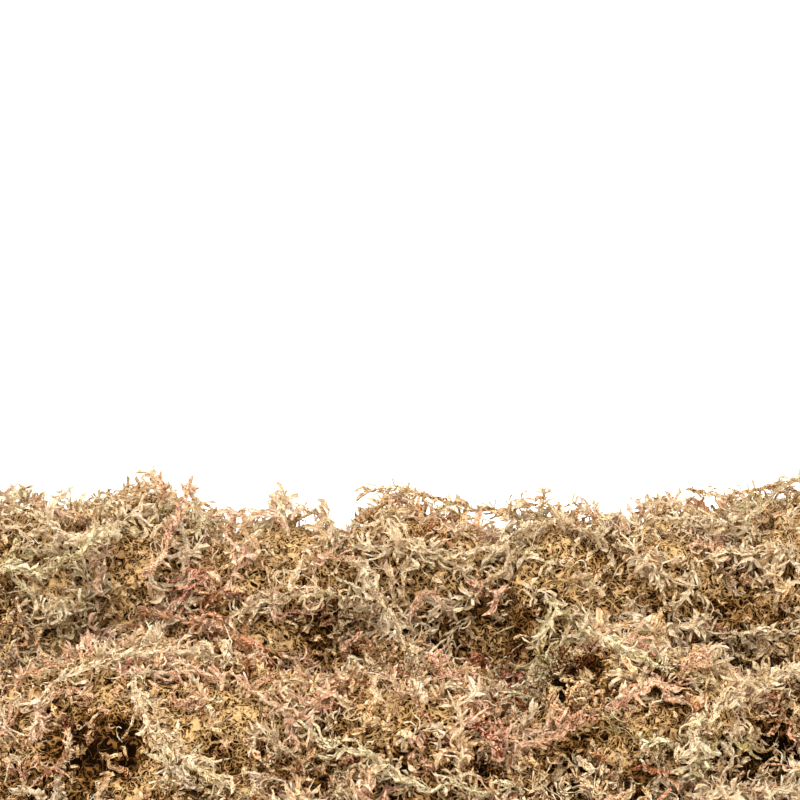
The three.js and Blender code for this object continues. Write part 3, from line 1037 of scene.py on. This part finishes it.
    # A branch stands off from its stem by its tilt, on the side that fan and sway give.
    tangent = add(tree, "GeometryNodeInputTangent")
    onward = add(tree, "FunctionNodeAlignRotationToVector", {"Vector": tangent}, axis="Z")
    upright = add(
        tree,
        "FunctionNodeAlignRotationToVector",
        {"Rotation": onward, "Vector": own["up"]},
        axis="Y",
        pivot_axis="Z",
    )
    wider = add(
        tree, "ShaderNodeMath", {0: even[0], 1: given["Tilt variation"], 2: 1.0}, operation="MULTIPLY_ADD"
    )
    tilt = add(tree, "ShaderNodeMath", {0: own["tilt"], 1: wider}, operation="MULTIPLY")
    left = add(tree, "ShaderNodeMath", {0: even[1]}, operation="SIGN")
    out = add(tree, "ShaderNodeMath", {0: left, 1: own["fan"], 2: math.pi}, operation="MULTIPLY_ADD")
    spin = add(tree, "ShaderNodeMath", {0: even[2], 1: own["sway"], 2: out}, operation="MULTIPLY_ADD")
    angles = add(tree, "ShaderNodeCombineXYZ", {0: tilt, 2: spin})
    turned = add(tree, "FunctionNodeEulerToRotation", {0: angles})
    stand = add(tree, "FunctionNodeRotateRotation", {0: upright, 1: turned}, rotation_space="LOCAL")
    growth = add(
        tree, "ShaderNodeMath", {0: even[6], 1: given["Size variation"], 2: 1.0}, operation="MULTIPLY_ADD"
    )
    scale = add(tree, "ShaderNodeMath", {0: own["size"], 1: growth}, operation="MULTIPLY")
    present = add(tree, "ShaderNodeMath", {0: even[3], 1: own["cover"]}, operation="LESS_THAN")
    which = add(
        tree, "ShaderNodeMath", {0: own["shapes"], 1: float(SHAPES), 2: pick}, operation="MULTIPLY_ADD"
    )
    shapes = add(
        tree,
        "GeometryNodeCollectionInfo",
        {"Collection": given["Branches"], "Separate Children": True, "Reset Children": True},
    )
    branches = add(
        tree,
        "GeometryNodeInstanceOnPoints",
        {
            "Points": knots,
            "Selection": present,
            "Instance": shapes,
            "Pick Instance": True,
            "Instance Index": which,
            "Rotation": stand,
            "Scale": scale,
        },
    )

    # The litter, with leafy scraps scattered over its outside.
    litter = add(tree, "GeometryNodeObjectInfo", {"Object": given["Litter"]}).outputs["Geometry"]
    dense = add(tree, "ShaderNodeMath", {0: own["outer"], 1: given["Flakes"]}, operation="MULTIPLY")
    spots = add(
        tree, "GeometryNodeDistributePointsOnFaces", {"Mesh": litter, "Density": dense, "Seed": seeds[8]}
    )
    scraps = add(
        tree, "GeometryNodeStoreNamedAttribute", {"Geometry": spots, "Name": "tonejit", "Value": tone_share}
    )
    scraps = add(
        tree,
        "GeometryNodeStoreNamedAttribute",
        {"Geometry": scraps, "Name": "shadejit", "Value": shade_share},
    )
    scraps = add(
        tree, "GeometryNodeStoreNamedAttribute", {"Geometry": scraps, "Name": "litter", "Value": 0.0}
    )
    spin = add(tree, "ShaderNodeMath", {0: even[2], 1: math.pi}, operation="MULTIPLY")
    lean = add(tree, "ShaderNodeMath", {0: even[0], 1: 0.5, 2: 1.15}, operation="MULTIPLY_ADD")
    angles = add(tree, "ShaderNodeCombineXYZ", {0: lean, 2: spin})
    turned = add(tree, "FunctionNodeEulerToRotation", {0: angles})
    lying = add(
        tree, "FunctionNodeRotateRotation", {0: spots.outputs["Rotation"], 1: turned}, rotation_space="LOCAL"
    )
    which = add(tree, "ShaderNodeMath", {0: pick, 1: float(SHAPES * SCRAPS)}, operation="ADD")
    scraps = add(
        tree,
        "GeometryNodeInstanceOnPoints",
        {
            "Points": scraps,
            "Instance": shapes,
            "Pick Instance": True,
            "Instance Index": which,
            "Rotation": lying,
            "Scale": growth,
        },
    )
    joined = add(tree, "GeometryNodeJoinGeometry", {0: stems})
    tree.links.new(scraps.outputs[0], joined.inputs[0])
    tree.links.new(branches.outputs[0], joined.inputs[0])
    tree.links.new(litter, joined.inputs[0])
    real = add(tree, "GeometryNodeRealizeInstances", {"Geometry": joined})

    # A strand's chart has its tone from left to right and its shade from bottom to top.
    middle = own["across"]
    tone = add(tree, "ShaderNodeMath", {0: own["tone"], 1: own["tonejit"]}, operation="ADD")
    chart_x = add(tree, "ShaderNodeMath", {0: middle, 1: 0.006, 2: tone}, operation="MULTIPLY_ADD")
    faded = add(tree, "ShaderNodeMath", {0: own["along"], 1: 0.5}, operation="SUBTRACT")
    shade = add(
        tree, "ShaderNodeMath", {0: faded, 1: given["Tip fading"], 2: own["shade"]}, operation="MULTIPLY_ADD"
    )
    shade = add(tree, "ShaderNodeMath", {0: shade, 1: own["shadejit"]}, operation="ADD")
    chart_y = add(tree, "ShaderNodeMath", {0: middle, 1: 0.010, 2: shade}, operation="MULTIPLY_ADD")
    chart_y = add(
        tree,
        "ShaderNodeMath",
        {0: chart_y, 1: 1 / (1 + DARKEST), 2: DARKEST / (1 + DARKEST)},
        operation="MULTIPLY_ADD",
    )
    chart_x = add(tree, "ShaderNodeMath", {0: chart_x, 1: LEAF_CHART}, operation="MULTIPLY")
    chart = add(tree, "ShaderNodeCombineXYZ", {0: chart_x, 1: chart_y})
    strands = add(tree, "ShaderNodeMath", {0: own["litter"], 1: 0.5}, operation="LESS_THAN")
    charted = add(
        tree,
        "GeometryNodeStoreNamedAttribute",
        {"Geometry": real, "Selection": strands, "Name": "OFBake", "Value": chart},
        data_type="FLOAT2",
        domain="CORNER",
    )
    shaded = add(tree, "GeometryNodeSetShadeSmooth", {"Geometry": charted, "Shade Smooth": False})
    done = add(
        tree,
        "GeometryNodeSetMaterial",
        {"Geometry": shaded, "Selection": own["leaf"], "Material": given["Leaf finish"]},
    )
    add(tree, "NodeGroupOutput", {0: done})
    return tree


# ---- Pieces --------------------------------------------------------------------------------------


class Workshop:
    """What the operators share: the heap, the laid strands, the branches, the tree and the finishes."""

    kept = None

    def __init__(self, scene):
        colours, sizes = scene.moss_colours, scene.moss_sizes
        self.sizes = sizes
        noise.seed_set(sizes.seed + 1)
        self.heap, self.lays = lay_all(sizes)
        self.branches = branch_collection(np.random.default_rng(sizes.seed + 1))
        self.tree = clad_strand_tree()
        self.leaf, self.stem, self.litter = leaf_finish(colours), stem_finish(colours), litter_finish(colours)

    @classmethod
    def open(cls, scene):
        """The workshop, which the first operator to ask for it sets up."""
        if cls.kept is None:
            cls.kept = cls(scene)
        return cls.kept

    @classmethod
    def close(cls):
        """Clears the helpers away, so that only finished pieces are left."""
        shop, cls.kept = cls.kept, None
        if shop:
            for helper in list(shop.branches.objects):
                bpy.data.objects.remove(helper)
            bpy.data.collections.remove(shop.branches)


def set_input(modifier, name, value):
    """Sets a Geometry Nodes modifier's input by the name it shows."""
    for item in modifier.node_group.interface.items_tree:
        if item.item_type == "SOCKET" and item.in_out == "INPUT" and item.name == name:
            modifier[item.identifier] = value
            return
    raise KeyError(name)


def litter_object(shop, node):
    """The matted moss of one tuft: its CAD solid, drawn out or in to lie just under the heap's strands."""
    mesh = cad_mesh(node)

    def nearness(place):
        """1 where the litter follows the heap's skin, 0 deep inside, and the nearest place on the skin."""
        spot, up = shop.heap.drop(place)
        return 1 - ease(((spot - place).dot(up) - LITTER_REACH) / LITTER_FADE), spot, up

    for _ in range(4):
        longest = {}
        for vertex in mesh.verts:
            near, spot, up = nearness(vertex.co)
            longest[vertex] = LITTER_EDGE if in_view(spot, up) else HIDDEN_EDGE
            if near == 0 or vertex.co.z < ON_FLOOR:
                longest[vertex] = 1.0
        long = [e for e in mesh.edges if e.calc_length() > max(longest[e.verts[0]], longest[e.verts[1]])]
        bmesh.ops.subdivide_edges(mesh, edges=long, cuts=1)
        bmesh.ops.triangulate(mesh, faces=mesh.faces)
    mesh.normal_update()
    middle = sum((v.co for v in mesh.verts), Vector()) / len(mesh.verts)
    moves, outer, sunk = [], [], []
    for vertex in mesh.verts:
        near, spot, up = nearness(vertex.co)
        # Painted light and shade: the litter is darker low down and in crevices, and paler or darker where
        # the landmarks paint it so.
        dark = 0.45 - 0.12 * fineness(spot) - 0.12 * shop.heap.standing(spot)
        dark = dark - 5.0 * (max(spot.z, FOOT_HEIGHT) - 0.085) - 1.3 * shop.heap.pale_moss_and_painted_light(spot)
        sunk.append(max(0.15, min(1.2, dark)))
        crumple = 2.2 * noise.noise(spot / 0.007 + Vector((7, 1, 5))) + 1.0 * noise.noise(spot / 0.0035)
        goal = spot - up * (shop.sizes.litter - crumple * MM)
        goal.z = max(goal.z, 0.0) if vertex.co.z > ON_FLOOR else vertex.co.z
        moves.append(vertex.co.lerp(goal, near))
        outer.append(near * (up.z > -0.8) * (1.0 if in_view(spot, up) else 0.5))
    mesh.verts.index_update()
    for vertex, place in zip(mesh.verts, moves):
        vertex.co = place
    data = bpy.data.meshes.new("litter")
    mix = MIXES[SLOTS[node]]
    usual = sum(TONES[name] * odds for name, odds in zip(MIX_TONES, mix)) / sum(mix)
    # The litter's chart is a disc: its top is in the middle, and its underside is a spot in a corner outside.
    chart = mesh.loops.layers.uv.new("OFBake")
    top = (shop.heap.drop(middle)[0] - middle).normalized()
    turn = top.rotation_difference(Vector((0, 0, 1)))
    for face in mesh.faces:
        ways = [turn @ (loop.vert.co - middle).normalized() for loop in face.loops]
        under = min(way.z for way in ways) < -0.92
        for loop, way in zip(face.loops, ways):
            reach = math.sqrt(max(0.0, (1 - way.z) / 2))
            flat = Vector((way.x, way.y)).normalized() * reach if way.xy.length > 1e-6 else Vector((0, 0))
            x, y = (flat.x, flat.y) if not under else (0.96 + 0.02 * way.x, 0.96 + 0.02 * way.y)
            loop[chart].uv = (LEAF_CHART + (1 - LEAF_CHART) * (0.5 + 0.49 * x), 0.5 + 0.49 * y)
    shade = [0.32 + 0.20 * noise.noise(place / 0.010) for place in moves]
    tone = [usual + 0.16 * noise.noise(place / 0.018 + Vector((3, 3, 3))) for place in moves]
    mesh.to_mesh(data)
    mesh.free()
    on_litter = [1.0] * len(moves)
    store(data, {"shade": shade, "tone": tone, "outer": outer, "sunk": sunk, "litter": on_litter})
    data.materials.append(shop.litter)
    return bpy.data.objects.new("litter", data)


def finish_piece(shop, node, lay, litter, seed):
    """Runs the tree on laid strands and makes one plain mesh of them and the litter, for a CAD node."""
    lines = bpy.data.objects.new("lines", lay.mesh("lines"))
    bpy.context.scene.collection.objects.link(lines)
    clad = lines.modifiers.new("Clad moss strands", "NODES")
    clad.node_group = shop.tree
    set_input(clad, "Branches", shop.branches)
    set_input(clad, "Leaf finish", shop.leaf)
    set_input(clad, "Stem finish", shop.stem)
    set_input(clad, "Seed", seed)
    set_input(clad, "Flakes", shop.sizes.flakes)
    if litter is not None:
        set_input(clad, "Litter", litter)
    mesh = bpy.data.meshes.new_from_object(lines.evaluated_get(bpy.context.evaluated_depsgraph_get()))
    bpy.data.objects.remove(lines)
    if litter is not None:
        bpy.data.objects.remove(litter)
    for extra in (*Lay.FIELDS, "up", "along", "leaf", "litter", "outer", "tonejit", "shadejit"):
        if extra in mesh.attributes:
            mesh.attributes.remove(mesh.attributes[extra])
    # What would go into the floor is pressed flat against it.
    flat = np.empty(len(mesh.vertices) * 3, np.float32)
    mesh.vertices.foreach_get("co", flat)
    flat = flat.reshape(-1, 3)
    flat[:, 2] = PRESSED * np.logaddexp(0, flat[:, 2] / PRESSED)
    mesh.vertices.foreach_set("co", flat.ravel())
    mesh.update()
    mesh.name = node + "_moss"
    piece = bpy.data.objects.new(node + "_moss", mesh)
    bpy.context.scene.collection.objects.link(piece)
    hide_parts(node)
    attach(piece, "root")
    return piece


def centreline(node):
    """A loose strand's middle line, from its thinner end to its head if it has one, and largest radius."""
    mesh = cad_mesh(node)
    mesh.verts.ensure_lookup_table()
    middle = sum((v.co for v in mesh.verts), Vector()) / len(mesh.verts)

    def spread(start):
        """How far every corner is from one of them, along the edges."""
        far, edge = {start: 0.0}, [start]
        while edge:
            edge.sort(key=far.get, reverse=True)
            vertex = edge.pop()
            for link in vertex.link_edges:
                other = link.other_vert(vertex)
                reach = far[vertex] + link.calc_length()
                if reach < far.get(other, 1e9) - 1e-9:
                    far[other] = reach
                    edge.append(other)
        return far

    one = max(mesh.verts, key=lambda v: (v.co - middle).length)
    far = spread(one)
    length = max(far.values())
    bins = max(5, round(length / 0.005))
    held = [[] for _ in range(bins)]
    for vertex, reach in far.items():
        held[min(bins - 1, int(reach / length * bins))].append(vertex.co.copy())
    points, girth = [one.co.copy()], [0.0]
    for group in held:
        if len(group) >= 3:
            centre = sum(group, Vector()) / len(group)
            points.append(centre)
            girth.append(sum((g - centre).length for g in group) / len(group))
    end = max(far, key=far.get)
    points.append(end.co.copy())
    mesh.free()
    if max(girth[: len(girth) // 2]) > max(girth[len(girth) // 2 :]):
        points.reverse()
        girth = girth[::-1]
    return points, max(girth)


def lay_loose_strand(shop, node):
    """Lays one strand along the middle line of its CAD node, with a head of short branches if it has one."""
    points, radius = centreline(node)
    lines = []
    for point in points:
        sunk = 0.6 * min(0, shop.heap.relief(point)) - 0.001
        lines.append(point + noise.noise_vector(point / 0.007) * 0.0022 + Vector((0, 0, sunk)))
    points, count = lines, len(lines)
    ups = [shop.heap.drop(point)[1] for point in points]
    uneven = [noise.noise_vector(point / 0.009) for point in points]
    tone = TONES[STRAND_TONES[SLOTS[node]]]
    shade = []
    for i, point in enumerate(points):
        patchy = 0.46 + 0.16 * (i / (count - 1)) + 0.35 * noise.noise(point / 0.012)
        # The landmarks' painted shade darkens the strand in their gaps.
        shade.append(patchy + 0.6 * min(0, shop.heap.pale_moss_and_painted_light(point)))
    common = dict(fan=0.0, sway=math.pi, cover=1.0, rag=0.6)
    lay = Lay()
    lay.add(
        points,
        ups,
        tone=[tone + 0.09 * u.x for u in uneven],
        shade=shade,
        size=[0.9 + 0.7 * u.y for u in uneven],
        tilt=[math.radians(56 + 50 * u.z) for u in uneven],
        shapes=[round(0.5 + 0.9 * u.x) for u in uneven],
        stem=taper(count, 0.45),
        step=2.5 * MM,
        spacing=0.8 * MM,
        **common,
    )
    if radius > HEAD_RADIUS:
        tip = points[-1]
        way = (tip - points[-2]).normalized()
        for k in range(3):
            lay.add(
                [tip - way * (0.006 - 0.002 * k) * (1 - i / 3) for i in range(4)],
                [ups[-1]] * 4,
                tone=tone,
                shade=0.7,
                size=0.9 - 0.1 * k,
                tilt=math.radians(95 - 30 * k),
                shapes=HEAD,
                stem=taper(4, 0.3),
                step=1 * MM,
                spacing=0.3 * MM,
                **common,
            )
    return lay


def build_tufts(context, course):
    """Builds every tuft of one course of the heap."""
    shop = Workshop.open(context.scene)
    names = [name for name in TUFTS if name.startswith(course)]
    if not names:
        raise RuntimeError(f"the frame has no {course}")
    for name in names:
        finish_piece(shop, name, shop.lays[name], litter_object(shop, name), 100 + 10 * TUFTS.index(name))


class MOSS_OT_base_tufts(bpy.types.Operator):
    """Build the tufts that the clump stands on"""

    bl_idname = "moss.base_tufts"
    bl_label = "Base Tufts"

    def execute(self, context):
        build_tufts(context, "base_tuft")
        return {"FINISHED"}


class MOSS_OT_shoulder_tufts(bpy.types.Operator):
    """Build the tufts halfway up the front"""

    bl_idname = "moss.shoulder_tufts"
    bl_label = "Shoulder Tufts"

    def execute(self, context):
        build_tufts(context, "shoulder_tuft")
        return {"FINISHED"}


class MOSS_OT_crest_tufts(bpy.types.Operator):
    """Build the tufts along the top"""

    bl_idname = "moss.crest_tufts"
    bl_label = "Crest Tufts"

    def execute(self, context):
        build_tufts(context, "crest_tuft")
        return {"FINISHED"}


class MOSS_OT_loose_strands(bpy.types.Operator):
    """Build the single strands that lie on the clump, with their heads"""

    bl_idname = "moss.loose_strands"
    bl_label = "Loose Strands"

    def execute(self, context):
        shop = Workshop.open(context.scene)
        if not LOOSE_STRANDS:
            raise RuntimeError("the frame has no loose strands")
        for index, name in enumerate(LOOSE_STRANDS):
            finish_piece(shop, name, lay_loose_strand(shop, name), None, 900 + 10 * index)
        return {"FINISHED"}


class MOSS_OT_stage(bpy.types.Operator):
    """Set up the floor, the lights and the camera"""

    bl_idname = "moss.stage"
    bl_label = "Stage"

    def execute(self, context):
        scene, stage = context.scene, context.scene.moss_stage
        mesh = bpy.data.meshes.new("floor")
        corners = [(x * FLOOR_REACH, y * FLOOR_REACH, 0) for x, y in ((-1, -1), (1, -1), (1, 1), (-1, 1))]
        mesh.from_pydata(corners, [], [(0, 1, 2, 3)])
        floor = bpy.data.objects.new("floor", mesh)
        scene.collection.objects.link(floor)
        # Matt white paint. It glows a little, so that it stays white.
        paint = bpy.data.materials.new("Painted board, matt")
        paint.use_nodes = True
        board = paint.node_tree.nodes["Principled BSDF"].inputs
        board["Base Color"].default_value = (*stage.floor, 1)
        board["Roughness"].default_value = 0.9
        board["Emission Color"].default_value = (1, 1, 1, 1)
        board["Emission Strength"].default_value = stage.glow
        mesh.materials.append(paint)

        world = bpy.data.worlds.new("studio")
        scene.world = world
        world.use_nodes = True
        sky = world.node_tree.nodes["Background"].inputs
        sky["Color"].default_value = (*SKY_COLOUR, 1)
        sky["Strength"].default_value = stage.fill

        for name, (place, width, share) in LAMPS.items():
            data = bpy.data.lights.new(name, "AREA")
            data.size, data.energy, data.color = width, stage.key * share, LAMP_COLOUR
            lamp = bpy.data.objects.new(name, data)
            scene.collection.objects.link(lamp)
            lamp.location = place
            lamp.rotation_euler = (Vector(LAMP_TARGET) - Vector(place)).to_track_quat("-Z", "Y").to_euler()

        data = bpy.data.cameras.new("camera")
        data.sensor_width, data.lens = SENSOR, LENS
        data.clip_start, data.clip_end = 0.05, 60
        camera = bpy.data.objects.new("camera", data)
        scene.collection.objects.link(camera)
        camera.location = CAMERA_PLACE
        camera.rotation_euler = (math.radians(90 - LOOKS_DOWN), 0, 0)
        scene.camera = camera
        scene.view_settings.view_transform = "Standard"
        return {"FINISHED"}


class MOSS_PT_panel(bpy.types.Panel):
    """Lists the clump's colours, sizes and pieces"""

    bl_label = "Sphagnum Moss Clump"
    bl_idname = "MOSS_PT_panel"
    bl_space_type = "VIEW_3D"
    bl_region_type = "UI"
    bl_category = "Moss"

    def draw(self, context):
        scene = context.scene
        for group in (scene.moss_colours, scene.moss_sizes, scene.moss_stage):
            box = self.layout.box()
            for name in group.__annotations__:
                box.prop(group, name)
        for operator in OPERATORS:
            self.layout.operator(operator.bl_idname)


OPERATORS = (
    MOSS_OT_base_tufts, MOSS_OT_shoulder_tufts, MOSS_OT_crest_tufts, MOSS_OT_loose_strands, MOSS_OT_stage
)
GROUPS = {"moss_colours": MossColours, "moss_sizes": MossSizes, "moss_stage": MossStage}


def register():
    for kind in (*GROUPS.values(), *OPERATORS, MOSS_PT_panel):
        bpy.utils.register_class(kind)
    for name, kind in GROUPS.items():
        setattr(bpy.types.Scene, name, bpy.props.PointerProperty(type=kind))


def unregister():
    for name in GROUPS:
        delattr(bpy.types.Scene, name)
    for kind in (MOSS_PT_panel, *reversed(OPERATORS), *reversed(GROUPS.values())):
        bpy.utils.unregister_class(kind)


def main():
    register()
    bpy.ops.moss.base_tufts()
    bpy.ops.moss.shoulder_tufts()
    bpy.ops.moss.crest_tufts()
    bpy.ops.moss.loose_strands()
    Workshop.close()
    bpy.ops.moss.stage()


if __name__ == "__main__":
    main()
